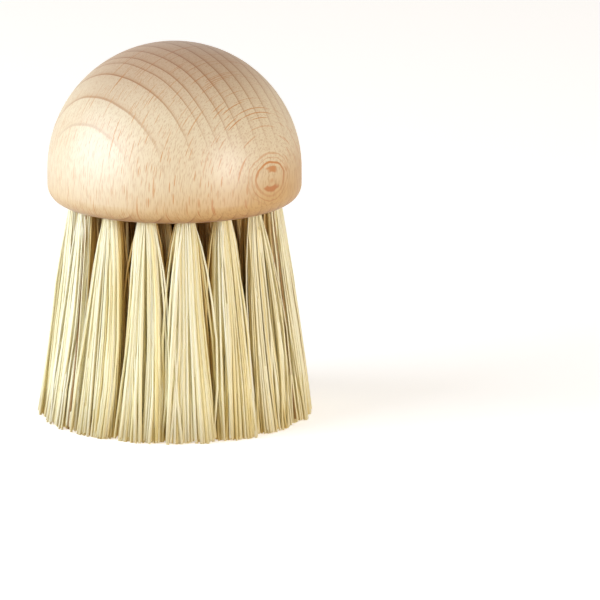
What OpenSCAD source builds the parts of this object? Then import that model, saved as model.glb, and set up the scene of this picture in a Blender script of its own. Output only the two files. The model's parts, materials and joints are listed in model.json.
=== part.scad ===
// Round vegetable brush: a turned beech knob with three rings of plant-fibre tufts.
// It stands on the trimmed tips of its bristles, at z = 0, with the dome on top.

/* [Handle] */
// Diameter of the turned knob
handle_d = 60; // [52:1:80]
// Height of the straight band between the dome and the rounded lower corner
band_h = 3.5; // [1:0.5:10]
// Radius of the rounded lower corner
corner_r = 4.1; // [2:0.1:6]
// Flat wood left between the outer holes and the rounded corner
edge_land = 0.65; // [0.3:0.05:3]

/* [Holes] */
// Diameter of a tuft hole
hole_d = 4.5; // [3.6:0.1:5.4]
// Depth of a tuft hole down to its full diameter
hole_depth = 10; // [7:0.5:13]
// Point angle of the drill that leaves the cone at the bottom of a hole
drill_angle = 118; // [90:2:150]
// Height above the underside where the axes of all holes would meet
focus_height = 270; // [160:5:600]
// Number of tufts in the outer ring
outer_count = 16; // [12:1:18]
// Number of tufts in the middle ring
middle_count = 9; // [7:1:10]
// Number of tufts in the inner ring
inner_count = 4; // [3:1:5]
// Radius of the inner ring of holes, on the underside
inner_ring_r = 5.5; // [5:0.1:7]

/* [Bristles] */
// Free length of the bristles, from the underside to the trimmed tips
bristle_l = 51.3; // [35:0.1:70]
// Depth below the underside at which the tufts of a ring meet
merge_depth = 26; // [12:0.5:36]
// Depth of the bend where a tuft opens out below its hole
flare_depth = 7; // [4:0.5:10]
// Space left between neighbouring tufts at the tips
tuft_gap = 0.2; // [0.1:0.05:1]
// Strands in the inner circle of a tuft
core_strands = 5; // [4:1:6]
// Strands in the outer circle of a tuft
rim_strands = 9; // [7:1:10]
// Share of the room along a tuft's rim that its strands take up inside the root
strand_packing = 0.72; // [0.4:0.02:0.8]
// Fibre left round the strands where they start, inside the packed root
root_margin = 0.45; // [0.35:0.05:0.6]
// How far inside the hole the strands start, buried in the packed root
strand_bury = 1; // [0.5:0.1:3]
// Width of a strand at the depth where the tufts meet
strand_merge_d = 1.15; // [0.6:0.05:1.2]
// Width of a strand at its tip
strand_tip_d = 1.5; // [0.6:0.05:1.6]

/* [Roots and anchors] */
// How far the packed root of a tuft stands out of its hole
root_proud = 0.6; // [0.2:0.1:1.5]
// Thickness of the fibres folded round an anchor, towards the bottom of the hole
fold_t = 1.4; // [0.8:0.1:2.5]
// How far an anchor bites into the wood on each side of its hole
anchor_bite = 0.6; // [0.2:0.1:1]
// Width of the flat anchor wire, along the hole
anchor_w = 2; // [1:0.1:3]
// Thickness of the flat anchor wire
anchor_t = 0.5; // [0.3:0.05:0.8]

/* [Fits] */
// Gap between a packed root and the wall of its hole
root_clear = 0.15; // [0.05:0.05:0.3]
// Gap between a packed root and the bottom of its hole
bottom_clear = 0.2; // [0.1:0.05:0.5]
// Gap round an anchor, in the wood and in the tuft
anchor_clear = 0.03; // [0.01:0.01:0.1]

/* [Hidden] */
$fn = 96;
beech = "#dfc09a";
fibre = "#e4d8a4";
galvanised = "#b4b8bc";

underside_z = bristle_l;
corner_z = underside_z + corner_r;
equator_z = corner_z + band_h;
handle_r = handle_d / 2;

outer_ring_r = handle_r - corner_r - edge_land - hole_d / 2;
middle_ring_r = (outer_ring_r + inner_ring_r) / 2;
root_r = hole_d / 2 - root_clear;
root_top = hole_depth - bottom_clear;
anchor_top = root_top - fold_t;
anchor_l = hole_d + 2 * anchor_bite;

// The rings from outside in, and the angle of the first tuft of each
ring_names = ["outer", "middle", "inner"];
ring_radii = [outer_ring_r, middle_ring_r, inner_ring_r];
ring_counts = [outer_count, middle_count, inner_count];
ring_starts = [3.2, 12, 25];

strand_depths = [-strand_bury, flare_depth, merge_depth, bristle_l];
strand_sides = 3;
// Turn from one tuft's strands to the next one's, so that no two tufts look alike
strand_turn = 137.5;
// Share of a tuft's half width at which its inner circle of strands lies
core_share = 0.52;
// The rim strands' width as a share of the circle's radius that they stand on
rim_share = 2 * sin(180 / rim_strands) * strand_packing;
strand_root_d = rim_share * (root_r - root_margin) / (1 + rim_share / 2);
// Distance from a tuft's axis to its rim strands inside the packed root
root_spread = root_r - root_margin - strand_root_d / 2;
// A cut that ends on the underside goes on this far below it
cut_over = 1;

function two_digits(i) = str(i < 10 ? "0" : "", i);
function tuft_name(ring, i) = str("tuft_", ring_names[ring], "_", two_digits(i));
function anchors_name(ring) = str("anchors_", ring_names[ring]);
function tuft_angle(ring, i) = ring_starts[ring] + (i - 1) * 360 / ring_counts[ring];

// Distance of a tuft's axis from the brush's axis at a depth below the underside
function axis_r(ring, depth) = ring_radii[ring] * (1 + depth / focus_height);

// Half the way between two rings at the tips
function half_pitch_tip() = (axis_r(0, bristle_l) - axis_r(1, bristle_l)) / 2;

// Half the width of a strand at a depth
function strand_r(depth) =
    lookup(depth, [[0, strand_root_d], [merge_depth, strand_merge_d], [bristle_l, strand_tip_d]]) / 2;

// Half the angle of the sector that belongs to one tuft of a ring
function half_sector(ring) = 180 / ring_counts[ring];

// Radius of the circle round a tuft's axis that its strand centres may fill in its sector
function sector_room(ring, depth) =
    axis_r(ring, depth) * sin(half_sector(ring)) - strand_r(depth) - tuft_gap / 2;

// Half the radial width of a tuft between its strand centres: it widens evenly
function radial_spread(ring, depth) =
    let (
        room = half_pitch_tip() - strand_r(bristle_l) - tuft_gap / 2,
        full = min(room, sector_room(ring, bristle_l))
    )
    root_spread + (full - root_spread) * max(depth, 0) / bristle_l;

// Half the width along the ring: the tuft fills its sector from merge_depth on.
// An ellipse clears a sector's side when its reach square to that side stays inside.
function ring_spread(ring, depth) =
    let (
        room = sector_room(ring, depth),
        reach = radial_spread(ring, depth) * sin(half_sector(ring)),
        full = sqrt(room * room - reach * reach) / cos(half_sector(ring)),
        left = max(1 - max(depth, 0) / merge_depth, 0)
    )
    root_spread + (full - root_spread) * (1 - left * left);

// A strand's cross-section, level, with one corner pointing away from the tuft's axis
function strand_ring(ring, share, angle, depth) = [
    for (side = [0:strand_sides - 1])
        let (
            turn = angle + side * 360 / strand_sides,
            x = share * radial_spread(ring, depth) * cos(angle) + strand_r(depth) * cos(turn),
            y = share * ring_spread(ring, depth) * sin(angle) + strand_r(depth) * sin(turn)
        )
        [axis_r(ring, depth) + x, y, underside_z - depth]
];

// Sets its children at a hole's mouth, with +Z running up the hole into the wood
module at_hole(ring, i)
    rotate([0, 0, tuft_angle(ring, i)])
        translate([ring_radii[ring], 0, underside_z])
            rotate([0, -atan(ring_radii[ring] / focus_height), 0])
                children();

module each_hole(ring)
    for (i = [1:ring_counts[ring]])
        at_hole(ring, i)
            children();

// A flat wire across the hole, in line with the brush's radius
module anchor_bar(length, clear)
    translate([0, 0, anchor_top - anchor_w / 2])
        cube([length + 2 * clear, anchor_t + 2 * clear, anchor_w + 2 * clear], center = true);

// The knob's outline on one side of its axis: dome, band, rounded corner, flat underside
module knob_profile() {
    intersection() {
        translate([0, equator_z])
            circle(handle_r);
        translate([0, equator_z])
            square([handle_r, handle_r]);
    }
    translate([0, corner_z])
        square([handle_r, band_h]);
    translate([0, underside_z])
        square([handle_r - corner_r, corner_r]);
    intersection() {
        translate([handle_r - corner_r, corner_z])
            circle(corner_r);
        translate([handle_r - corner_r, underside_z])
            square([corner_r, corner_r]);
    }
}

module drilled_hole() {
    translate([0, 0, -cut_over])
        cylinder(h = hole_depth + cut_over, d = hole_d);
    translate([0, 0, hole_depth])
        cylinder(h = hole_d / 2 / tan(drill_angle / 2), d1 = hole_d, d2 = 0);
}

module handle()
    color(beech)
        difference() {
            rotate_extrude()
                knob_profile();
            for (ring = [0:2])
                each_hole(ring) {
                    drilled_hole();
                    anchor_bar(anchor_l, anchor_clear);
                }
        }

module strand(ring, share, angle) {
    points = [for (depth = strand_depths) each strand_ring(ring, share, angle, depth)];
    last = (len(strand_depths) - 1) * strand_sides;
    walls = [
        for (level = [0:len(strand_depths) - 2])
            for (side = [0:strand_sides - 1])
                let (
                    a = level * strand_sides + side,
                    b = level * strand_sides + (side + 1) % strand_sides
                )
                each [[a, b, b + strand_sides], [a, b + strand_sides, a + strand_sides]]
    ];
    polyhedron(points, concat([[2, 1, 0]], walls, [[last, last + 1, last + 2]]));
}

// The fibres packed in the hole, folded round the anchor that passes through them
module packed_root(ring, i)
    at_hole(ring, i)
        difference() {
            translate([0, 0, -root_proud])
                cylinder(h = root_top + root_proud, r = root_r);
            anchor_bar(hole_d, anchor_clear);
        }

module tuft(ring, i)
    color(fibre) {
        packed_root(ring, i);
        rotate([0, 0, tuft_angle(ring, i)]) {
            strand(ring, 0, 0);
            for (n = [1:core_strands])
                strand(ring, core_share, i * strand_turn + n * 360 / core_strands);
            for (n = [1:rim_strands])
                strand(ring, 1, i * strand_turn + n * 360 / rim_strands);
        }
    }

module anchors(ring)
    color(galvanised)
        each_hole(ring)
            anchor_bar(anchor_l, 0);

handle();
for (ring = [0:2])
    for (i = [1:ring_counts[ring]])
        tuft(ring, i);
for (ring = [0:2])
    anchors(ring);
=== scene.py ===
"""A round vegetable brush: a turned beech knob with three rings of plant-fibre tufts.

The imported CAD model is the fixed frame. The knob and the anchors keep their CAD shape and get
their finish here. Each tuft's plain strands are replaced by single fibres, folded over the
tuft's anchor inside the hole and cut level at the tips.
"""

import json
import logging
import math
from dataclasses import dataclass
from enum import Enum
from typing import Any

import bmesh
import bpy
import numpy as np
from mathutils import Euler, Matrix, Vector

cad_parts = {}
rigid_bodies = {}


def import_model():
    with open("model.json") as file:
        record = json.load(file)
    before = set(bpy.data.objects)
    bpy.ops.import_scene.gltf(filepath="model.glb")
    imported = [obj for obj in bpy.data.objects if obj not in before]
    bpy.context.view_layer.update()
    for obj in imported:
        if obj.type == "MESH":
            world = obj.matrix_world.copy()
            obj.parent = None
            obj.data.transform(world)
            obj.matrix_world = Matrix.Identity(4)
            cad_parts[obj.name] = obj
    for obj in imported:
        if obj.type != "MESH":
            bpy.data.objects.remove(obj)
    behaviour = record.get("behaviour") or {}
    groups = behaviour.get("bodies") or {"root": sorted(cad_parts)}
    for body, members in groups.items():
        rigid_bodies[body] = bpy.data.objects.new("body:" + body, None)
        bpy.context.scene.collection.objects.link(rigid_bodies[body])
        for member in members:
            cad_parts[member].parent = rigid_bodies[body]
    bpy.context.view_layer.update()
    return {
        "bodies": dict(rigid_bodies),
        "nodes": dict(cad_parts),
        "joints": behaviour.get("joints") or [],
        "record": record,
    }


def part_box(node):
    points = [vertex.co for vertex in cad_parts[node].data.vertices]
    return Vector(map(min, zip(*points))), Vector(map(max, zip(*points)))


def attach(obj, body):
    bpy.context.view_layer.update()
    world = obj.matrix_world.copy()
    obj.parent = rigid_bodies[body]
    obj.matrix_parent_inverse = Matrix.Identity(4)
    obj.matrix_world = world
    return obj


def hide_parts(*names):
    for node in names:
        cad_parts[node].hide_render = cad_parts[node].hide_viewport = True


LOG = logging.getLogger("vegetable_brush")
MM = 0.001

Tree = bpy.types.NodeTree
Node = bpy.types.Node


class Ring(Enum):
    """The three rings of tufts, by the word that their nodes' names hold."""

    OUTER = "outer"
    MIDDLE = "middle"
    INNER = "inner"


def linear(hex_colour: str) -> tuple[float, float, float, float]:
    """Turn an sRGB hex colour into the linear values that a shader takes.

    Args:
        hex_colour: the colour, such as "#e3cba8".

    Returns:
        Red, green, blue and an alpha of 1.
    """
    shares = [int(hex_colour[start : start + 2], 16) / 255 for start in (1, 3, 5)]
    red, green, blue = (
        share / 12.92 if share <= 0.04045 else ((share + 0.055) / 1.055) ** 2.4
        for share in shares
    )
    return red, green, blue, 1.0


def add_node(
    tree: Tree, kind: str, inputs: dict[int | str, Any] | None = None, **settings: Any
) -> Node:
    """Add a shader node with its settings and links.

    Args:
        tree: the material's node tree.
        kind: the node's type, without the word ShaderNode.
        inputs: for each input, a value to set, or an output socket or a node to link. A node
            stands for its first output.
        settings: the node's own properties.

    Returns:
        The new node.
    """
    node = tree.nodes.new("ShaderNode" + kind)
    for name, value in settings.items():
        setattr(node, name, value)
    for key, value in (inputs or {}).items():
        if isinstance(value, Node):
            value = value.outputs[0]
        if isinstance(value, bpy.types.NodeSocket):
            tree.links.new(value, node.inputs[key])
        else:
            node.inputs[key].default_value = value
    return node


def set_ramp(node: Node, stops: list[tuple[float, str]]) -> None:
    """Give a colour ramp its stops.

    Args:
        node: a ValToRGB node.
        stops: places from 0 to 1, each with its hex colour.
    """
    elements = node.color_ramp.elements
    while len(elements) < len(stops):
        elements.new(0.5)
    for element, (place, colour) in zip(elements, stops):
        element.position = place
        element.color = linear(colour)


def new_material(name: str) -> tuple[bpy.types.Material, Node]:
    """Make an empty material that ends in one Principled shader.

    Args:
        name: the finish's name.

    Returns:
        The material and its Principled node.
    """
    material = bpy.data.materials.new(name)
    material.use_nodes = True
    tree = material.node_tree
    tree.nodes.clear()
    shader = add_node(tree, "BsdfPrincipled")
    add_node(tree, "OutputMaterial", {"Surface": shader.outputs["BSDF"]})
    return material, shader


def deselect_all() -> None:
    """Leave nothing selected, so that the next operator acts on its own object alone."""
    bpy.ops.object.select_all(action="DESELECT")


def dress(piece: bpy.types.Object, material: bpy.types.Material) -> None:
    """Put one material into every slot of a piece, or into a new slot if it has none.

    Args:
        piece: a mesh object.
        material: its finish.
    """
    if not piece.material_slots:
        piece.data.materials.append(material)
    for slot in piece.material_slots:
        slot.material = material


@dataclass(frozen=True)
class Rays:
    """One size of the thin upright ribbons that run through the wood towards the pith.

    The pitch and the half size are given towards the pith, along a ring and up. The edge is
    where a ray begins to fade and where it ends, as shares of its half size.
    """

    pitch_mm: tuple[float, float, float]
    half_mm: tuple[float, float, float]
    seed: float = 0.0
    faintest: float = 0.15
    strongest: float = 0.95
    edge: tuple[float, float] = (0.7, 1.05)


@dataclass(frozen=True)
class FigureRing:
    """One ring of the rays' figure. Its reach and half width are shares of the figure's size.

    A wave with one or two crests round the ring breaks it: as the wave goes over its span,
    the ring's strength goes from the first value to the second.
    """

    reach: float
    half: float
    strength: tuple[float, float]
    span: tuple[float, float] = (-1.0, 1.0)
    crests: int = 1


@dataclass(frozen=True)
class RayFigure:
    """Where the turned face just grazes the rays: they show broadside as broken rings.

    The middle and the half size are given towards the pith and up. The figure lies on the
    knob's two flanks, further along a ring than nearest_mm. A noise of patch_mm makes its
    rings waver by up to a share of the figure's size, and turns the breaks of the one with
    two crests by up to swing_rad.
    """

    middle_mm: tuple[float, float] = (1.7, 60.3)
    half_mm: tuple[float, float] = (5.3, 4.2)
    nearest_mm: float = 22.0
    patch_mm: float = 2.6
    waver: float = 0.2
    swing_rad: float = 1.8
    start_rad: float = -0.2
    edge: tuple[float, float] = (0.7, 1.3)
    blur: float = 0.015
    rings: tuple[FigureRing, ...] = (
        FigureRing(reach=1.03, half=0.05, strength=(0.3, 1.0)),
        FigureRing(reach=0.68, half=0.14, strength=(0.0, 0.9), span=(0.1, -0.5), crests=2),
        FigureRing(reach=1.28, half=0.02, strength=(0.5, 0.4)),
        FigureRing(reach=1.5, half=0.02, strength=(0.2, 0.5)),
    )


@dataclass(frozen=True)
class TurnedBeech:
    """European beech, turned across a quartered blank, sanded fine and left without lacquer.

    The growth rings show as fine brown arcs, sharp towards the bark and fading towards the
    pith. Their places are measured from the knob's axis towards the pith, and they waver by
    up to waver_mm. The rays show as short dark dashes where the face is flat-sawn and as
    broad flecks where it is quarter-sawn. A steepness is how squarely the turned face cuts
    across the fibres, from 0 to 1: the rings and the end grain each come up over a span of it.
    """

    early_wood: str = "#e6d5b3"
    mid_wood: str = "#dfcba9"
    late_wood: str = "#d3b790"
    ring_line: str = "#b4865a"
    ray: str = "#c98436"
    pore: str = "#bd8d58"
    # Painted warm bounce light, multiplied into the wood towards the knob's foot
    painted_bounce: str = "#e4c898"
    end_grain: str = "#c49c86"
    pith_mm: tuple[float, float] = (177.3, 143.4)
    ring_places_mm: tuple[float, ...] = (
        -31.0, -26.7, -22.7, -17.4, -13.8, -11.7, -8.6, -5.5, -1.7,
        1.9, 5.4, 9.5, 13.2, 16.6, 20.3, 23.7, 27.2, 31.0,
    )  # fmt: skip
    waver_per_mm: tuple[float, float, float] = (0.05, 0.05, 0.018)
    waver_mm: float = 0.8
    ring_steepness: tuple[float, float] = (0.15, 0.9)
    faintest_ring: float = 0.08
    fine_rays: Rays = Rays(pitch_mm=(20.0, 0.7, 4.0), half_mm=(8.0, 0.085, 1.5))
    broad_rays: Rays = Rays(pitch_mm=(30.0, 3.0, 9.0), half_mm=(14.0, 0.12, 3.4), seed=7.3)
    figure: RayFigure = RayFigure()
    pore_mm: tuple[float, float, float] = (0.5, 0.14, 2.0)
    pore_noise: tuple[float, float] = (0.44, 0.75)
    pore_strength: float = 0.5
    pore_relief: float = 0.25
    pore_depth_mm: float = 0.03
    painted_bounce_slope: tuple[float, float, float] = (0.2, 0.0, -1.0)
    painted_bounce_mm: tuple[float, float] = (-67.0, -54.0)
    end_steepness: tuple[float, float] = (0.5, 1.05)
    end_strength: float = 0.7
    roughness: float = 0.46
    gloss: float = 0.9
    fuzz: float = 0.12

    def material(self) -> bpy.types.Material:
        """Build the wood from the trunk's own directions: towards the pith, along a ring, up.

        Returns:
            The wood.
        """
        material, shader = new_material("turned_beech")
        tree = material.node_tree
        trunk = self.trunk_place(tree)
        ring = self.ring_tone(tree, trunk)
        fine = self.ray_share(tree, trunk, self.fine_rays)
        broad = self.ray_share(tree, trunk, self.broad_rays)
        rays = add_node(tree, "Math", {0: fine, 1: broad}, operation="MAXIMUM")
        figure = self.figure_share(tree, trunk)
        rays = add_node(tree, "Math", {0: rays, 1: figure}, operation="MAXIMUM")
        pores = self.pore_share(tree, trunk)
        grain = add_node(tree, "MixRGB", {0: pores, 1: ring, 2: linear(self.pore)})
        flecked = add_node(tree, "MixRGB", {0: rays, 1: grain, 2: linear(self.ray)})
        warmed = self.painted_bounce_tone(tree, trunk, flecked)
        colour = self.end_grain_tone(tree, warmed)
        tree.links.new(colour.outputs[0], shader.inputs["Base Color"])
        shader.inputs["Roughness"].default_value = self.roughness
        shader.inputs["Specular IOR Level"].default_value = self.gloss
        shader.inputs["Sheen Weight"].default_value = self.fuzz
        sunk = add_node(tree, "Math", {0: pores, 1: -1.0}, operation="MULTIPLY")
        bump = add_node(
            tree,
            "Bump",
            {"Height": sunk, "Strength": self.pore_relief, "Distance": self.pore_depth_mm * MM},
        )
        tree.links.new(bump.outputs[0], shader.inputs["Normal"])
        return material

    def trunk_place(self, tree: Tree) -> Node:
        """Turn object coordinates into millimetres towards the pith, along a ring and up.

        Args:
            tree: the material's node tree.

        Returns:
            A vector node with those three distances.
        """
        reach = math.hypot(*self.pith_mm)
        turn = math.atan2(self.pith_mm[1], self.pith_mm[0])
        coordinates = add_node(tree, "TexCoord")
        turned = add_node(
            tree,
            "VectorRotate",
            {"Vector": coordinates.outputs["Object"], "Angle": -turn},
            rotation_type="Z_AXIS",
        )
        in_mm = add_node(tree, "VectorMath", {0: turned, "Scale": 1 / MM}, operation="SCALE")
        parts = add_node(tree, "SeparateXYZ", {0: in_mm})
        to_pith = add_node(tree, "Math", {0: reach, 1: parts.outputs[0]}, operation="SUBTRACT")
        slope = add_node(tree, "Math", {0: parts.outputs[1], 1: to_pith}, operation="DIVIDE")
        along_ring = add_node(tree, "Math", {0: slope, 1: reach}, operation="MULTIPLY")
        bow = add_node(tree, "Math", {0: parts.outputs[1], 1: slope}, operation="MULTIPLY")
        half_bow = add_node(tree, "Math", {0: bow, 1: 0.5}, operation="MULTIPLY")
        inward = add_node(
            tree, "Math", {0: parts.outputs[0], 1: half_bow}, operation="SUBTRACT"
        )
        return add_node(tree, "CombineXYZ", {0: inward, 1: along_ring, 2: parts.outputs[2]})

    def ring_tone(self, tree: Tree, trunk: Node) -> Node:
        """Colour each year's growth from its dark late wood to the pale early wood.

        Args:
            tree: the material's node tree.
            trunk: the place in the trunk, in millimetres.

        Returns:
            A colour node.
        """
        stretched = add_node(
            tree, "VectorMath", {0: trunk, 1: self.waver_per_mm}, operation="MULTIPLY"
        )
        waver = add_node(tree, "TexNoise", {"Vector": stretched, "Scale": 1.0, "Detail": 2.0})
        shift = add_node(
            tree,
            "MapRange",
            {0: waver.outputs["Fac"], 1: 0.0, 2: 1.0, 3: -self.waver_mm, 4: self.waver_mm},
        )
        inward = add_node(tree, "SeparateXYZ", {0: trunk}).outputs[0]
        wavered = add_node(tree, "Math", {0: inward, 1: shift}, operation="ADD")
        first, last = self.ring_places_mm[0], self.ring_places_mm[-1]
        share = add_node(tree, "MapRange", {0: wavered, 1: first, 2: last, 3: 0.0, 4: 1.0})
        years = add_node(tree, "FloatCurve", {"Value": share})
        self.set_years(years)
        count = len(self.ring_places_mm) - 1
        phase = add_node(tree, "Math", {0: years, 1: float(count)}, operation="MULTIPLY")
        in_year = add_node(tree, "Math", {0: phase}, operation="FRACT")
        tone = add_node(tree, "ValToRGB", {0: in_year})
        set_ramp(
            tone,
            [
                (0.0, self.mid_wood),
                (0.02, self.ring_line),
                (0.06, self.ring_line),
                (0.1, self.late_wood),
                (0.24, self.mid_wood),
                (0.6, self.early_wood),
                (1.0, self.early_wood),
            ],
        )
        low, high = self.ring_steepness
        strength = add_node(
            tree,
            "MapRange",
            {0: self.steepness(tree), 1: low, 2: high, 3: self.faintest_ring, 4: 1.0},
            interpolation_type="SMOOTHSTEP",
        )
        return add_node(tree, "MixRGB", {0: strength, 1: linear(self.early_wood), 2: tone})

    def steepness(self, tree: Tree) -> Node:
        """Tell how squarely the turned face cuts across the fibres.

        Args:
            tree: the material's node tree.

        Returns:
            A value node, from 0 to 1.
        """
        coordinates = add_node(tree, "TexCoord")
        facing = add_node(tree, "SeparateXYZ", {0: coordinates.outputs["Normal"]})
        return add_node(tree, "Math", {0: facing.outputs[2]}, operation="ABSOLUTE")

    def set_years(self, node: Node) -> None:
        """Shape the curve that gives how many years of growth lie before a place.

        Args:
            node: a FloatCurve node.
        """
        first, last = self.ring_places_mm[0], self.ring_places_mm[-1]
        count = len(self.ring_places_mm) - 1
        curve = node.mapping.curves[0]
        for number, place in enumerate(self.ring_places_mm[1:-1], start=1):
            curve.points.new((place - first) / (last - first), number / count)
        for point in curve.points:
            point.handle_type = "VECTOR"
        node.mapping.update()

    def ray_share(self, tree: Tree, trunk: Node, rays: Rays) -> Node:
        """Draw one size of ray, one in each cell of a stretched grid.

        Args:
            tree: the material's node tree.
            trunk: the place in the trunk, in millimetres.
            rays: the rays' sizes.

        Returns:
            A value node, 1 inside a ray.
        """
        cells = tuple(1 / pitch for pitch in rays.pitch_mm)
        seed = (rays.seed, rays.seed, rays.seed)
        stretched = add_node(
            tree, "VectorMath", {0: trunk, 1: cells, 2: seed}, operation="MULTIPLY_ADD"
        )
        voronoi = add_node(
            tree, "TexVoronoi", {"Vector": stretched, "Scale": 1.0, "Randomness": 1.0}
        )
        offset = add_node(
            tree,
            "VectorMath",
            {0: stretched, 1: voronoi.outputs["Position"]},
            operation="SUBTRACT",
        )
        shape = tuple(pitch / half for pitch, half in zip(rays.pitch_mm, rays.half_mm))
        scaled = add_node(tree, "VectorMath", {0: offset, 1: shape}, operation="MULTIPLY")
        reach = add_node(tree, "VectorMath", {0: scaled}, operation="LENGTH")
        full, none = rays.edge
        inside = add_node(
            tree,
            "MapRange",
            {0: reach.outputs["Value"], 1: full, 2: none, 3: 1.0, 4: 0.0},
            interpolation_type="SMOOTHSTEP",
        )
        strength = add_node(
            tree,
            "MapRange",
            {0: voronoi.outputs["Color"], 1: 0.0, 2: 1.0, 3: rays.faintest, 4: rays.strongest},
        )
        return add_node(tree, "Math", {0: inside, 1: strength}, operation="MULTIPLY")

    def figure_share(self, tree: Tree, trunk: Node) -> Node:
        """Draw the broken rings on the two sides where the turned face grazes the rays.

        Args:
            tree: the material's node tree.
            trunk: the place in the trunk, in millimetres.

        Returns:
            A value node, 1 inside the rings.
        """
        figure = self.figure
        middle = (figure.middle_mm[0], 0.0, figure.middle_mm[1])
        size = (figure.half_mm[0], 1.0, figure.half_mm[1])
        offset = add_node(tree, "VectorMath", {0: trunk, 1: middle}, operation="SUBTRACT")
        scaled = add_node(tree, "VectorMath", {0: offset, 1: size}, operation="DIVIDE")
        parts = add_node(tree, "SeparateXYZ", {0: scaled})
        flat = add_node(tree, "CombineXYZ", {0: parts.outputs[0], 2: parts.outputs[2]})
        reach = add_node(tree, "VectorMath", {0: flat}, operation="LENGTH")
        noise = add_node(
            tree, "TexNoise", {"Vector": trunk, "Scale": 1 / figure.patch_mm, "Detail": 1.0}
        )
        wavered = add_node(
            tree,
            "Math",
            {0: noise.outputs["Fac"], 1: figure.waver, 2: reach.outputs["Value"]},
            operation="MULTIPLY_ADD",
        )
        angle = add_node(
            tree, "Math", {0: parts.outputs[2], 1: parts.outputs[0]}, operation="ARCTAN2"
        )
        turned = add_node(
            tree,
            "Math",
            {0: noise.outputs["Color"], 1: figure.swing_rad, 2: angle},
            operation="MULTIPLY_ADD",
        )
        twice = add_node(
            tree, "Math", {0: turned, 1: 2.0, 2: figure.start_rad}, operation="MULTIPLY_ADD"
        )
        waves = {
            crests: add_node(tree, "Math", {0: phase}, operation="SINE")
            for crests, phase in ((1, angle), (2, twice))
        }
        shown: Node | float = 0.0
        for ring in figure.rings:
            band = self.band(tree, wavered, ring)
            (first, last), (low, high) = ring.span, ring.strength
            strength = add_node(
                tree, "MapRange", {0: waves[ring.crests], 1: first, 2: last, 3: low, 4: high}
            )
            broken = add_node(tree, "Math", {0: band, 1: strength}, operation="MULTIPLY")
            shown = add_node(tree, "Math", {0: broken, 1: shown}, operation="MAXIMUM")
        distance = add_node(tree, "Math", {0: parts.outputs[1]}, operation="ABSOLUTE")
        flank = add_node(
            tree, "Math", {0: distance, 1: figure.nearest_mm}, operation="GREATER_THAN"
        )
        return add_node(tree, "Math", {0: shown, 1: flank}, operation="MULTIPLY")

    def band(self, tree: Tree, reach: Node, ring: FigureRing) -> Node:
        """Pick out the soft-edged band of distances that one ring of the figure fills.

        Args:
            tree: the material's node tree.
            reach: the distance from the figure's middle, as a share of its size.
            ring: the ring.

        Returns:
            A value node, 1 inside the band.
        """
        full, none = (ring.half * share for share in self.figure.edge)
        away = add_node(tree, "Math", {0: reach, 1: ring.reach}, operation="SUBTRACT")
        distance = add_node(tree, "Math", {0: away}, operation="ABSOLUTE")
        return add_node(
            tree,
            "MapRange",
            {0: distance, 1: full, 2: none + self.figure.blur, 3: 1.0, 4: 0.0},
            interpolation_type="SMOOTHSTEP",
        )

    def pore_share(self, tree: Tree, trunk: Node) -> Node:
        """Draw the fine pores that run with the fibres.

        Args:
            tree: the material's node tree.
            trunk: the place in the trunk, in millimetres.

        Returns:
            A value node, higher where the pores lie.
        """
        cells = tuple(1 / size for size in self.pore_mm)
        stretched = add_node(tree, "VectorMath", {0: trunk, 1: cells}, operation="MULTIPLY")
        noise = add_node(tree, "TexNoise", {"Vector": stretched, "Scale": 1.0, "Detail": 1.0})
        low, high = self.pore_noise
        return add_node(
            tree,
            "MapRange",
            {0: noise.outputs["Fac"], 1: low, 2: high, 3: 0.0, 4: self.pore_strength},
            interpolation_type="SMOOTHSTEP",
        )

    def painted_bounce_tone(self, tree: Tree, trunk: Node, colour: Node) -> Node:
        """Paint warm bounce light: deepen and warm the wood towards its foot, a little to the
        pith.

        Args:
            tree: the material's node tree.
            trunk: the place in the trunk, in millimetres.
            colour: the wood's colour so far.

        Returns:
            A colour node.
        """
        # Painted warm bounce light: deeper and warmer low on the knob, a little more on the
        # pith's side
        depth = add_node(
            tree, "VectorMath", {0: trunk, 1: self.painted_bounce_slope}, operation="DOT_PRODUCT"
        )
        bounce_start, painted_bounce = self.painted_bounce_mm
        share = add_node(
            tree,
            "MapRange",
            {0: depth.outputs["Value"], 1: bounce_start, 2: painted_bounce, 3: 0.0, 4: 1.0},
            interpolation_type="SMOOTHSTEP",
        )
        return add_node(
            tree, "MixRGB", {0: share, 1: colour, 2: linear(self.painted_bounce)}, blend_type="MULTIPLY"
        )

    def end_grain_tone(self, tree: Tree, colour: Node) -> Node:
        """Darken the wood where the turned face cuts across the fibres.

        Args:
            tree: the material's node tree.
            colour: the wood's colour so far.

        Returns:
            A colour node.
        """
        low, high = self.end_steepness
        share = add_node(
            tree,
            "MapRange",
            {0: self.steepness(tree), 1: low, 2: high, 3: 0.0, 4: self.end_strength},
            interpolation_type="SMOOTHSTEP",
        )
        return add_node(
            tree,
            "MixRGB",
            {0: share, 1: colour, 2: linear(self.end_grain)},
            blend_type="MULTIPLY",
        )


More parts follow.
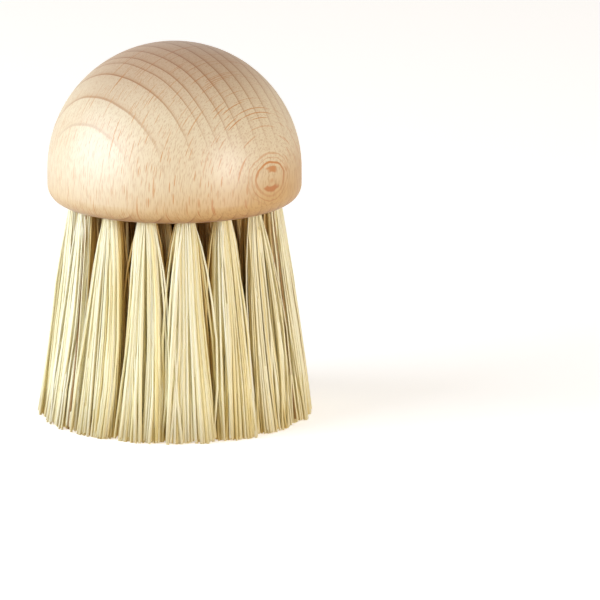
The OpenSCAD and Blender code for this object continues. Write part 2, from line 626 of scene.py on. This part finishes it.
@dataclass(frozen=True)
class PlantFibre:
    """Agave leaf fibre, retted, combed and cut, with a faint natural gloss.

    Each fibre has a shade of its own, from cream to gold, and deepens towards its tip. A few
    are brown. The shade also holds painted shade: deeper on the tufts' inward sides, and near
    the roots of the rings behind.
    """

    gold: str = "#bf8c34"
    straw: str = "#f4e4a4"
    cream: str = "#fcf7d6"
    pale: str = "#fefdec"
    brown: str = "#a5814c"
    tip_shade: float = 0.9
    roughness: float = 0.45

    def material(self) -> bpy.types.Material:
        """Colour the fibres by the attributes that each tuft's mesh carries.

        Returns:
            The fibre.
        """
        material, shader = new_material("agave_fibre")
        tree = material.node_tree
        shade = add_node(tree, "Attribute", attribute_name="shade")
        along = add_node(tree, "Attribute", attribute_name="along")
        deeper = add_node(tree, "MapRange", {0: along.outputs["Fac"], 3: 1.0, 4: self.tip_shade})
        aged = add_node(
            tree, "Math", {0: shade.outputs["Fac"], 1: deeper}, operation="MULTIPLY"
        )
        tone = add_node(tree, "ValToRGB", {0: aged})
        set_ramp(
            tone,
            [
                (0.03, self.brown),
                (0.06, self.gold),
                (0.4, self.straw),
                (0.65, self.cream),
                (1.0, self.pale),
            ],
        )
        tree.links.new(tone.outputs[0], shader.inputs["Base Color"])
        shader.inputs["Roughness"].default_value = self.roughness
        return material


@dataclass(frozen=True)
class GalvanisedWire:
    """Flat steel wire, zinc-coated by hot dipping: dull grey with a fine cloudy spangle."""

    bright: str = "#c3c6c8"
    dull: str = "#8f9498"
    spangle_mm: float = 0.6
    roughness: float = 0.42

    def material(self) -> bpy.types.Material:
        """Build the zinc with its spangle in object coordinates.

        Returns:
            The wire's steel.
        """
        material, shader = new_material("galvanised_wire")
        tree = material.node_tree
        coordinates = add_node(tree, "TexCoord")
        cells = add_node(
            tree,
            "TexVoronoi",
            {"Vector": coordinates.outputs["Object"], "Scale": 1 / (self.spangle_mm * MM)},
        )
        tone = add_node(tree, "ValToRGB", {0: cells.outputs["Color"]})
        set_ramp(tone, [(0.0, self.dull), (1.0, self.bright)])
        tree.links.new(tone.outputs[0], shader.inputs["Base Color"])
        shader.inputs["Metallic"].default_value = 1.0
        shader.inputs["Roughness"].default_value = self.roughness
        return material


@dataclass(frozen=True)
class StudioPaper:
    """White paper sweep: matt and even, lit so that it reads as white."""

    white: str = "#efeeec"
    glow: float = 0.6
    roughness: float = 0.9
    gloss: float = 0.1

    def material(self) -> bpy.types.Material:
        """Build the paper with a faint glow, which keeps its far parts white.

        Returns:
            The paper.
        """
        material, shader = new_material("studio_paper")
        shader.inputs["Base Color"].default_value = linear(self.white)
        shader.inputs["Roughness"].default_value = self.roughness
        shader.inputs["Specular IOR Level"].default_value = self.gloss
        shader.inputs["Emission Color"].default_value = linear(self.white)
        shader.inputs["Emission Strength"].default_value = self.glow
        return material


@dataclass
class Knob:
    """The turned handle. Its CAD shape is right, so it only gets its finish."""

    node_name: str = "handle"

    def finish(self, frame: dict[str, Any]) -> None:
        """Dress the CAD node in beech.
        """
        node = frame["nodes"][self.node_name]
        dress(node, TurnedBeech().material())
        LOG.info("%s: beech", self.node_name)


@dataclass
class Anchors:
    """The flat wires that hold the tufts. They stay as CAD nodes and get their finish."""

    prefix: str = "anchors_"

    def finish(self, frame: dict[str, Any]) -> None:
        """Dress each ring's anchors in galvanised steel.
        """
        wire = GalvanisedWire().material()
        for ring in Ring:
            name = self.prefix + ring.value
            dress(frame["nodes"][name], wire)
            LOG.info("%s: galvanised steel", name)


@dataclass(frozen=True)
class FibreRod:
    """A straight rod with flat sides, modelled once and bent along every fibre's path.

    Each of its corners has a station along the rod and an angle round it. In the map that it
    lays out, a fibre is a strip with a margin at its left and at both ends.
    """

    station: np.ndarray
    angle: np.ndarray
    faces: list[list[int]]
    strip_left: float = 0.06
    strip_width: float = 0.7
    strip_end: float = 0.002

    @classmethod
    def model(cls, stations: int, sides: int = 4) -> "FibreRod":
        """Model the rod as by hand, one unit long for each step between stations.

        Args:
            stations: how many rings of corners it has.
            sides: how many sides it has.

        Returns:
            The rod.
        """
        deselect_all()
        bpy.ops.mesh.primitive_cylinder_add(
            vertices=sides, radius=1, depth=stations - 1, end_fill_type="NGON"
        )
        rod = bpy.context.active_object
        bpy.ops.object.mode_set(mode="EDIT")
        bpy.ops.mesh.select_all(action="DESELECT")
        mesh = bmesh.from_edit_mesh(rod.data)
        # The long edges are cut into one step between each two stations
        for edge in mesh.edges:
            first, second = edge.verts
            edge.select = abs(first.co.z - second.co.z) > 0.5
        bmesh.update_edit_mesh(rod.data)
        bpy.ops.mesh.subdivide(number_cuts=stations - 2)
        bpy.ops.object.mode_set(mode="OBJECT")
        corners = np.array([corner.co for corner in rod.data.vertices])
        faces = [list(face.vertices) for face in rod.data.polygons]
        station = np.rint(corners[:, 2] + (stations - 1) / 2).astype(int)
        angle = np.arctan2(corners[:, 1], corners[:, 0])
        bpy.data.objects.remove(rod)
        return cls(station, angle, faces)

    def bent(self, paths: np.ndarray, half_mm: np.ndarray) -> np.ndarray:
        """Bend a copy of the rod along every path.

        Args:
            paths: each fibre's points, one for each station, in millimetres.
            half_mm: half of each fibre's width at each station.

        Returns:
            The corners of each copy.
        """
        ahead = np.gradient(paths, axis=1)
        ahead /= np.linalg.norm(ahead, axis=2, keepdims=True)
        side = np.cross(ahead, np.array([1.0, 0.0, 0.0]))
        side /= np.linalg.norm(side, axis=2, keepdims=True)
        front = np.cross(side, ahead)
        return paths[:, self.station] + half_mm[:, self.station][..., None] * (
            np.cos(self.angle)[:, None] * front[:, self.station]
            + np.sin(self.angle)[:, None] * side[:, self.station]
        )

    def mesh(self, name: str, places: np.ndarray, fibres: int) -> bpy.types.Mesh:
        """Join all copies of the rod in one mesh, with their strips in the map OFBake.

        Args:
            name: the mesh's name.
            places: every corner's place, in metres.
            fibres: how many copies there are.

        Returns:
            The mesh.
        """
        step = len(self.station)
        faces = [
            [corner + number * step for corner in face]
            for number in range(fibres)
            for face in self.faces
        ]
        mesh = bpy.data.meshes.new(name)
        mesh.from_pydata(places.tolist(), [], faces)
        strip = self.strip()
        u = ((np.arange(fibres)[:, None] + strip[None, :, 0]) / fibres).ravel()
        v = np.tile(self.strip_end + (1 - 2 * self.strip_end) * strip[:, 1], fibres)
        layer = mesh.uv_layers.new(name="OFBake")
        layer.uv.foreach_set("vector", np.stack([u, v], axis=1).astype(np.float32).ravel())
        return mesh

    def strip(self) -> np.ndarray:
        """Unroll the rod flat.

        Returns:
            For each corner of each face, its share of the map's width and of the rod's length.
        """
        round_share = (self.angle / (2 * math.pi)) % 1
        length_share = self.station / self.station.max()
        strip = []
        for face in self.faces:
            shares = round_share[face]
            # The side that closes the round goes on past the full turn
            if np.ptp(shares) > 0.5:
                shares = np.where(shares < 0.5, shares + 1, shares)
            across = self.strip_left + self.strip_width * shares
            strip += list(zip(across, length_share[face]))
        return np.array(strip)


@dataclass(frozen=True)
class Sheaf:
    """The fibres of one tuft: its own random numbers, and where each fibre stands in the root.

    A place is a share of the root's radius: across, away from the brush's axis, and aside,
    along the ring.
    """

    random: np.random.Generator
    across: np.ndarray
    aside: np.ndarray

    def halves(self) -> tuple["Sheaf", "Sheaf"]:
        """Give the places of both halves of the folded fibres."""
        return self, Sheaf(self.random, self.across, -self.aside)


@dataclass(frozen=True)
class Root:
    """A tuft's root: fibres packed in their hole and folded over a flat anchor."""

    radius_mm: float = 1.98
    anchor_top_mm: float = 8.4
    mouth_mm: float = 0.5
    slot_from_mm: float = 3.0
    slot_half_mm: float = 0.42
    fold_mm: float = 1.25
    fold_turns: tuple[float, ...] = (math.pi / 4, math.pi / 2, 3 * math.pi / 4)
    crowding: float = 0.42
    scatter: float = 0.05

    def depths(self) -> list[float]:
        """Give the depths in the hole at which a fibre has a ring of corners."""
        return [-self.anchor_top_mm, -self.anchor_top_mm / 2, -self.mouth_mm]

    def sheaf(self, random: np.random.Generator, count: int) -> Sheaf:
        """Scatter the fibres over their hole, closer together towards its wall.

        Args:
            random: the tuft's own random numbers.
            count: how many folded fibres there are.

        Returns:
            The first halves of the fibres.
        """
        angle = random.uniform(0, math.pi, count)
        share = random.uniform(0, 1, count) ** self.crowding
        across = share * np.cos(angle) + random.normal(0, self.scatter, count)
        return Sheaf(random, across, share * np.sin(angle))

    def parted(self, depth: np.ndarray) -> np.ndarray:
        """Tell where in the hole the halves stand apart, from 0 to 1, for the anchor."""
        return np.clip(-depth - self.slot_from_mm, 0, 1)

    def fold(self, start: np.ndarray, end: np.ndarray) -> np.ndarray:
        """Bend the fibres over the anchor, from one side of it to the other.

        Args:
            start: where each fibre reaches the anchor's top on one side.
            end: where it leaves it on the other.

        Returns:
            The points of each fold.
        """
        middle = (start + end) / 2
        half = (start - end) / 2
        rise = self.fold_mm * np.abs(half[:, 1]) / self.radius_mm
        points = []
        for turn in self.fold_turns:
            point = middle + half * math.cos(turn)
            point[:, 2] += rise * math.sin(turn)
            points.append(point)
        return np.stack(points, axis=1)


@dataclass(frozen=True)
class Locks:
    """How the fibres of a tuft hang together in locks, and how some leave them.

    A lock leans and bows as one, and draws its fibres in by a share of their distance from
    its middle: by the waist's hold a little above half way down, by the tip's at the tips. A
    loner slips most of that hold and goes more its own way. A stray is one of the outermost
    fibres that bows well away from the tuft.
    """

    count: int = 9
    golden_turn_rad: float = 2.4
    scatter: float = 0.1
    waist_hold: float = 0.2
    waist_power: float = 0.8
    tip_hold: float = 0.08
    loners: float = 0.14
    loner_slip: float = 0.8
    sway_mm: float = 0.4
    lean_mm: float = 1.0
    lean_power: float = 1.4
    bow_mm: float = 0.6
    own_share: float = 0.12
    loner_share: float = 0.7
    wave_mm: float = 0.08
    waves: float = 1.6
    strays: int = 0
    stray_choice: int = 6
    stray_mm: tuple[float, float] = (0.8, 2.6)
    stray_across: float = 0.2

    def shared_out(self, sheaf: Sheaf) -> tuple[np.ndarray, np.ndarray]:
        """Share the fibres out among the locks, each to the nearest.

        Args:
            sheaf: the tuft's fibres.

        Returns:
            Each fibre's lock, and the locks' middles.
        """
        numbers = np.arange(self.count)
        turns = sheaf.random.uniform(0, 2 * math.pi) + numbers * self.golden_turn_rad
        radii = np.sqrt((numbers + 0.5) / self.count)
        centres = np.stack([radii * np.cos(turns), radii * np.sin(turns)], axis=1)
        centres += sheaf.random.normal(0, self.scatter, centres.shape)
        fibres = np.stack([sheaf.across, sheaf.aside], axis=1)
        distance = np.linalg.norm(fibres[:, None] - centres[None], axis=2)
        return distance.argmin(axis=1), centres

    def hold(self, down: np.ndarray, alone: np.ndarray) -> np.ndarray:
        """Tell how far each fibre is drawn to its lock's middle.

        Args:
            down: each point's share of the way down to the tips.
            alone: which fibres are loners.

        Returns:
            Shares of the fibre's distance from that middle.
        """
        pull = self.waist_hold * np.sin(math.pi * down**self.waist_power) + self.tip_hold * down
        return pull * (1 - self.loner_slip * alone[:, None])

    def drift(
        self, sheaf: Sheaf, lock: np.ndarray, alone: np.ndarray, down: np.ndarray
    ) -> list[np.ndarray]:
        """Lean, bow and ripple the fibres, most of it lock by lock.

        Args:
            sheaf: the tuft's fibres.
            lock: each fibre's lock.
            alone: which fibres are loners.
            down: each point's share of the way down to the tips.

        Returns:
            How far each point moves away from the brush's axis, and along the ring, in mm.
        """
        random = sheaf.random
        size = (len(lock), 2)
        own = np.where(alone, self.loner_share, self.own_share)[:, None]
        lean = random.normal(0, self.sway_mm, (self.count, 2))[lock]
        lean += random.normal(0, self.lean_mm, size) * own
        bow = random.normal(0, self.sway_mm, (self.count, 2))[lock]
        bow += random.normal(0, self.bow_mm, size) * own
        wave = random.normal(0, self.wave_mm, size)
        start = random.uniform(0, 2 * math.pi, size[0])[:, None]
        bow += self.stray_bows(sheaf)
        bend = np.sin(math.pi * down)
        ripple = np.sin(2 * math.pi * down * self.waves + start) * np.clip(4 * down, 0, 1)
        return [
            lean[:, [k]] * down**self.lean_power + bow[:, [k]] * bend + wave[:, [k]] * ripple
            for k in (0, 1)
        ]

    def stray_bows(self, sheaf: Sheaf) -> np.ndarray:
        """Bow a few of the outermost fibres well away from their tuft.

        Args:
            sheaf: the tuft's fibres.

        Returns:
            Each fibre's bow in both directions, in millimetres.
        """
        bows = np.zeros((len(sheaf.across), 2))
        from_rim = np.argsort(-np.hypot(sheaf.across, sheaf.aside))
        outermost = from_rim[: self.stray_choice * max(self.strays, 1)]
        for index in sheaf.random.permutation(outermost)[: self.strays]:
            side = np.sign(sheaf.aside[index])
            away = np.array([self.stray_across * sheaf.across[index], side])
            bows[index] = away * sheaf.random.uniform(*self.stray_mm)
        return bows


@dataclass(frozen=True)
class Shades:
    """How pale a tuft's fibres are, from 0, which is brown, to 1.

    They are deeper where the tuft faces inwards, a painted shade that stands in for the golden
    shade in the gaps between tufts, and in the rings behind the outer one also near the root,
    a painted shadow where the tufts stand in each other's shadow.
    """

    front: float = 0.62
    front_from: float = 0.5
    # Painted shade: how much deeper the inward side of a tuft is
    inward_painted_shade: float = 0.7
    tuft_spread: float = 0.025
    fibre_spread: float = 0.09
    limits: tuple[float, float] = (0.2, 0.97)
    brown_share: float = 0.008
    # Painted shadow near the root: the share of its shade a fibre keeps there, and how far it
    # reaches
    shadowed_root_share: float = 1.0
    painted_shadow_reach: float = 0.4

    def draw(self, sheaf: Sheaf) -> np.ndarray:
        """Draw each fibre's shade.

        Args:
            sheaf: the tuft's fibres.

        Returns:
            The shades.
        """
        # Painted shade: the side of a tuft that faces inwards is deeper, for the golden shade in
        # the gaps
        mean = self.front - self.inward_painted_shade * np.clip(self.front_from - sheaf.across, 0, 1)
        mean += sheaf.random.normal(0, self.tuft_spread)
        shades = np.clip(sheaf.random.normal(mean, self.fibre_spread), *self.limits)
        brown = sheaf.random.uniform(0, 1, len(shades)) < self.brown_share
        return np.where(brown, 0.0, shades)

    def kept_in_painted_shadow(self, reach: np.ndarray) -> np.ndarray:
        """Give the share of shade a fibre keeps at each station under the painted root shadow.
        """
        return self.shadowed_root_share + (1 - self.shadowed_root_share) * np.clip(reach / self.painted_shadow_reach, 0, 1)


@dataclass(frozen=True)
class Widths:
    """How wide a fibre is in its hole, just below it and at its tip.

    The real one is about 0.25 mm wide. It is drawn wider below the hole, so that a few
    hundred fibres fill a tuft as the many finer ones do.
    """

    packed_mm: float = 0.2
    loose_mm: float = 0.42
    loose_from: float = 0.125
    tip_mm: float = 0.66
    spread: tuple[float, float] = (0.8, 1.2)

    def halves(self, random: np.random.Generator, reach: np.ndarray, count: int) -> np.ndarray:
        """Give half of each fibre's width at each station.

        Args:
            random: the numbers that make some fibres thicker than others.
            reach: each station's share of the way from the underside to the tips.
            count: how many fibres there are.

        Returns:
            Half the widths, in millimetres.
        """
        loosened = np.clip(reach / self.loose_from, 0, 1)
        width = self.packed_mm + (self.loose_mm - self.packed_mm) * loosened
        width += (self.tip_mm - self.loose_mm) * reach
        return width[None] / 2 * random.uniform(*self.spread, count)[:, None]


@dataclass
class Tufts:
    """A ring of tufts: how its holes lie, and how its fibres spread from them to the tips.

    A depth is measured down from the knob's underside, and is negative inside a hole. A tuft
    is built in a frame of its own, with X away from the brush's axis. The axes of the holes
    would meet focus_mm above the underside. Along the ring a tuft first fills only its parted
    share of its sector, and over merge_mm it widens until it overlaps the next one.
    """

    ring: Ring
    hole_ring_mm: float
    first_deg: float
    outer_edge_mm: float
    inner_edge_mm: float
    folded_fibres: int = 220
    shades: Shades = Shades()
    locks: Locks = Locks()
    root: Root = Root()
    widths: Widths = Widths()
    focus_mm: float = 270.0
    flare_mm: float = 5.5
    parted_share: float = 0.74
    merge_mm: tuple[float, float] = (16.0, 44.0)
    overlap: float = 1.05
    squareness: float = 0.7
    furthest_mm: float = 32.7
    stations: tuple[float, ...] = (0.045, 0.12, 0.23, 0.37, 0.55, 0.77, 1.0)
    trim_mm: float = 1.2
    short_share: float = 0.05
    short_length: tuple[float, float] = (0.55, 0.95)
    slot: str = "plant_fibre"
    seed: int = 11

    def build(self, frame: dict[str, Any], material: bpy.types.Material) -> None:
        """Replace each of the ring's CAD tufts by its fibres.

        Args:
            material: the fibre's finish.
        """
        names = sorted(n for n in frame["nodes"] if n.startswith(f"tuft_{self.ring.value}_"))
        length_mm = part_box("handle")[0].z / MM
        below = [share * length_mm for share in self.stations]
        depths = np.array(self.root.depths() + below)
        rise = np.clip(depths / length_mm, 0, 1)
        fold = np.zeros(len(self.root.fold_turns))
        reach = np.concatenate([rise[::-1], fold, rise])
        rod = FibreRod.model(stations=len(reach))
        for number, name in enumerate(names):
            angle = math.radians(self.first_deg) + number * 2 * math.pi / len(names)
            random = np.random.default_rng([self.seed, len(names), number])
            sheaf = self.root.sheaf(random, self.folded_fibres)
            first, second = (
                self.half(half, depths, length_mm, len(names)) for half in sheaf.halves()
            )
            over = self.root.fold(first[:, 0], second[:, 0])
            paths = np.concatenate([first[:, ::-1], over, second], axis=1)
            shades = self.shades.draw(sheaf)
            piece = self.mesh_piece(name + "_fibres", rod, paths, reach, shades, angle)
            dress(piece, material)
            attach(piece, "root")
            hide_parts(name)
            LOG.info("%s: %d folded fibres", piece.name, self.folded_fibres)

    def half(
        self, sheaf: Sheaf, depths: np.ndarray, length_mm: float, tufts: int
    ) -> np.ndarray:
        """Run one half of every fibre from its anchor down to its tip.

        Args:
            sheaf: the halves' places.
            depths: the depths of the rings of corners.
            length_mm: how far the tips lie below the underside.
            tufts: how many tufts the ring has.

        Returns:
            The points of every half, in millimetres.
        """
        across, aside = sheaf.across, sheaf.aside
        depth = self.cut(sheaf.random, len(across), depths, length_mm)
        down = np.clip(depth / length_mm, 0, 1)
        lock, centres = self.locks.shared_out(sheaf)
        alone = sheaf.random.uniform(0, 1, len(across)) < self.locks.loners
        hold = self.locks.hold(down, alone)
        out = across[:, None] + (centres[lock, 0] - across)[:, None] * hold
        along = aside[:, None] + (centres[lock, 1] - aside)[:, None] * hold
        out, along = self.squared(out, along, down)
        axis_mm = self.hole_ring_mm * (1 + depth / self.focus_mm)
        radial, shift = self.radial_room(down, length_mm)
        sideways = self.ring_room(depth, axis_mm, tufts)
        drift = self.locks.drift(sheaf, lock, alone, down)
        x = axis_mm + shift + radial * out + drift[0]
        y = sideways * along + drift[1]
        # Every fibre stays within the circle that the trimmed tips fill
        inside = np.minimum(1, self.furthest_mm / np.hypot(x, y))
        x, y = x * inside, y * inside
        slot = self.root.parted(depth) * self.root.slot_half_mm * (1 - np.abs(along))
        y += np.sign(aside)[:, None] * slot
        return np.stack([x, y, length_mm - depth], axis=2)

    def cut(
        self, random: np.random.Generator, count: int, depths: np.ndarray, length_mm: float
    ) -> np.ndarray:
        """Cut the fibres level at the tips, apart from a few that are shorter.

        Args:
            random: the tuft's own random numbers.
            count: how many fibres there are.
            depths: the depths of the rings of corners of a full fibre.
            length_mm: how far the tips lie below the underside.

        Returns:
            The depths of each fibre's own rings of corners.
        """
        tips = length_mm - self.trim_mm * random.uniform(0, 1, count) ** 2
        short = random.uniform(0, 1, count) < self.short_share
        tips = np.where(short, length_mm * random.uniform(*self.short_length, count), tips)
        return np.where(depths > 0, depths * (tips / length_mm)[:, None], depths)

    def radial_room(self, down: np.ndarray, length_mm: float) -> tuple[np.ndarray, np.ndarray]:
        """Widen the tuft evenly away from the brush's axis, up to its two edges at the tips.

        Args:
            down: each point's share of the way down to the tips.
            length_mm: how far the tips lie below the underside.

        Returns:
            The tuft's half width, and how far its middle has shifted from the hole's axis.
        """
        tip_middle_mm = (self.outer_edge_mm + self.inner_edge_mm) / 2
        tip_half_mm = (self.outer_edge_mm - self.inner_edge_mm) / 2
        straight_mm = self.hole_ring_mm * (1 + length_mm / self.focus_mm)
        half = self.root.radius_mm + (tip_half_mm - self.root.radius_mm) * down
        return half, (tip_middle_mm - straight_mm) * down

    def ring_room(self, depth: np.ndarray, axis_mm: np.ndarray, tufts: int) -> np.ndarray:
        """Widen the tuft along the ring: it flares early and meets the next one late.

        Args:
            depth: each point's depth.
            axis_mm: how far the hole's axis lies from the brush's axis at that depth.
            tufts: how many tufts the ring has.

        Returns:
            The tuft's half width.
        """
        merged = np.clip((depth - self.merge_mm[0]) / np.ptp(self.merge_mm), 0, 1)
        filled = self.parted_share + (self.overlap - self.parted_share) * merged
        sector = axis_mm * math.sin(math.pi / tufts) * filled
        flared = 1 - np.exp(-np.clip(depth, 0, None) / self.flare_mm)
        return self.root.radius_mm + (sector - self.root.radius_mm) * flared

    def squared(
        self, out: np.ndarray, along: np.ndarray, down: np.ndarray
    ) -> tuple[np.ndarray, np.ndarray]:
        """Stretch the round tuft towards the corners of its sector as it nears the tips.

        Args:
            out: each point's share of the half width away from the brush's axis.
            along: its share of the half width along the ring.
            down: its share of the way down to the tips.

        Returns:
            The two shares, stretched.
        """
        angle = np.arctan2(along, out)
        longest = np.maximum(np.abs(np.cos(angle)), np.abs(np.sin(angle)))
        stretch = longest ** (-self.squareness * down)
        return out * stretch, along * stretch

    def mesh_piece(
        self,
        name: str,
        rod: FibreRod,
        paths: np.ndarray,
        reach: np.ndarray,
        shades: np.ndarray,
        angle: float,
    ) -> bpy.types.Object:
        """Copy the rod along every path into one piece, turned to its place in the ring.

        Args:
            name: the piece's name.
            rod: the straight fibre.
            paths: the fibres' points, in the tuft's frame.
            reach: each station's share of the way from the underside to the tip.
            shades: each fibre's shade.
            angle: the tuft's angle round the brush's axis.

        Returns:
            The tuft's object, with the attributes that its material reads.
        """
        widths = self.widths.halves(np.random.default_rng(self.seed), reach, len(paths))
        corners = rod.bent(paths, widths)
        cos, sin = math.cos(angle), math.sin(angle)
        x = corners[..., 0] * cos - corners[..., 1] * sin
        y = corners[..., 0] * sin + corners[..., 1] * cos
        places = np.stack([x, y, corners[..., 2]], axis=2).reshape(-1, 3) * MM
        mesh = rod.mesh(name, places, len(paths))
        # Painted shadow near the root for the rings behind, carried in the shade attribute
        kept_in_painted_shadow = self.shades.kept_in_painted_shadow(reach)[None, rod.station]
        attributes = {
            "shade": (shades[:, None] * kept_in_painted_shadow).ravel(),
            "along": np.tile(reach[rod.station], len(paths)),
        }
        for attribute, values in attributes.items():
            layer = mesh.attributes.new(attribute, "FLOAT", "POINT")
            layer.data.foreach_set("value", values.astype(np.float32))
        mesh.shade_smooth()
        piece = bpy.data.objects.new(name, mesh)
        bpy.context.scene.collection.objects.link(piece)
        return piece


@dataclass(frozen=True)
class PhotoCamera:
    """The camera that took the photograph, worked out from the knob's outline in it."""

    place_mm: tuple[float, float, float] = (-60.0, -1221.0, 318.0)
    down_deg: float = 13.4
    right_deg: float = 4.2
    focal_px: float = 5294.0
    photo_px: float = 600.0
    sensor_mm: float = 36.0
    far_m: float = 20.0

    def build(self) -> bpy.types.Object:
        """Make the camera and look through it.

        Returns:
            The camera.
        """
        lens = bpy.data.cameras.new("photo_camera")
        lens.sensor_width = self.sensor_mm
        lens.lens = self.focal_px * self.sensor_mm / self.photo_px
        lens.clip_end = self.far_m
        camera = bpy.data.objects.new("photo_camera", lens)
        camera.location = Vector(self.place_mm) * MM
        camera.rotation_euler = Euler(
            (math.radians(90 - self.down_deg), 0.0, math.radians(-self.right_deg))
        )
        bpy.context.scene.collection.objects.link(camera)
        bpy.context.scene.camera = camera
        return camera


@dataclass(frozen=True)
class SoftBox:
    """One soft studio light, with its place, width and height in metres."""

    name: str
    place_m: tuple[float, float, float]
    size_m: tuple[float, float]
    watts: float
    colour: str
    aim_m: float = 0.06

    def hang(self) -> None:
        """Hang the light and turn it to face the brush."""
        data = bpy.data.lights.new(self.name, "AREA")
        data.shape = "RECTANGLE"
        data.size, data.size_y = self.size_m
        data.energy = self.watts
        data.color = linear(self.colour)[:3]
        lamp = bpy.data.objects.new(self.name, data)
        lamp.location = self.place_m
        towards = Vector((0.0, 0.0, self.aim_m)) - lamp.location
        lamp.rotation_euler = towards.to_track_quat("-Z", "Y").to_euler()
        bpy.context.scene.collection.objects.link(lamp)


@dataclass
class Studio:
    """A white paper cove, a large soft light at the left and two weaker ones at the right.

    The room behind the lights has a warm floor, dim walls and a pale ceiling.
    """

    cove_m: float = 5.0
    wall_m: float = 2.0
    bend_m: float = 0.5
    bend_steps: int = 12
    sink_mm: float = 0.05
    boxes: tuple[SoftBox, ...] = (
        SoftBox("key_left", (-0.78, -0.2, 0.28), (0.9, 0.5), 10.4, "#e5f0ff"),
        SoftBox("fill_right", (0.75, -0.72, 0.22), (0.3, 0.4), 6.5, "#f4f7ff"),
        SoftBox("low_front", (0.25, -0.38, 0.02), (0.3, 0.1), 0.16, "#ffd080"),
    )
    floor: str = "#c8a96c"
    walls: str = "#483820"
    ceiling: str = "#bab2a8"

    def build(self) -> None:
        """Set up the cove, the lights and the room."""
        self.cove()
        for box in self.boxes:
            box.hang()
        self.room()
        bpy.context.scene.view_settings.view_transform = "Standard"

    def cove(self) -> None:
        """Model the paper: a floor whose edges curve up into four walls.

        The paper only shows behind the brush: it neither lights nor shades it.
        """
        deselect_all()
        bpy.ops.mesh.primitive_plane_add(size=self.cove_m, location=(0, 0, -self.sink_mm * MM))
        paper = bpy.context.active_object
        paper.name = "paper_cove"
        bpy.ops.object.mode_set(mode="EDIT")
        bpy.ops.mesh.select_all(action="SELECT")
        bpy.ops.mesh.extrude_region_move(TRANSFORM_OT_translate={"value": (0, 0, self.wall_m)})
        bpy.ops.mesh.delete(type="ONLY_FACE")
        bpy.ops.mesh.select_all(action="DESELECT")
        mesh = bmesh.from_edit_mesh(paper.data)
        for edge in mesh.edges:
            edge.select = min(corner.co.z for corner in edge.verts) < self.wall_m / 2
        bmesh.update_edit_mesh(paper.data)
        bpy.ops.mesh.bevel(offset=self.bend_m, segments=self.bend_steps)
        bpy.ops.object.mode_set(mode="OBJECT")
        bpy.ops.object.shade_smooth()
        dress(paper, StudioPaper().material())
        paper.visible_diffuse = False
        paper.visible_shadow = False
        LOG.info("%s: floor and backdrop, %d faces", paper.name, len(paper.data.polygons))

    def room(self) -> None:
        """Light the brush from the room, by the height that the light comes from."""
        world = bpy.data.worlds.new("studio_room")
        world.use_nodes = True
        tree = world.node_tree
        coordinates = add_node(tree, "TexCoord")
        parts = add_node(tree, "SeparateXYZ", {0: coordinates.outputs["Generated"]})
        height = add_node(tree, "MapRange", {0: parts.outputs[2], 1: -1.0, 2: 1.0})
        light = add_node(tree, "ValToRGB", {0: height})
        set_ramp(light, [(0.2, self.floor), (0.5, self.walls), (0.95, self.ceiling)])
        tree.links.new(light.outputs[0], tree.nodes["Background"].inputs["Color"])
        bpy.context.scene.world = world


def main() -> None:
    """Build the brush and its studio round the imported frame."""
    logging.basicConfig(level=logging.INFO, format="%(name)s: %(message)s")
    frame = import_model()
    PhotoCamera().build()
    Studio().build()
    Knob().finish(frame)
    Anchors().finish(frame)
    fibre = PlantFibre().material()
    # The rings behind are deeper in colour, partly their own golden tone and partly painted
    # shade, with a painted shadow near the root
    painted_shade_behind = Shades(front=0.4, shadowed_root_share=0.12)
    rings = (
        Tufts(Ring.OUTER, 23.0, 3.2, 32.2, 22.2, folded_fibres=320, locks=Locks(strays=6)),
        Tufts(Ring.MIDDLE, 14.25, 12.0, 22.2, 12.0, shades=painted_shade_behind),
        Tufts(Ring.INNER, 5.5, 25.0, 12.0, 0.5, shades=painted_shade_behind),
    )
    for tufts in rings:
        tufts.build(frame, fibre)


if __name__ == "__main__":
    main()
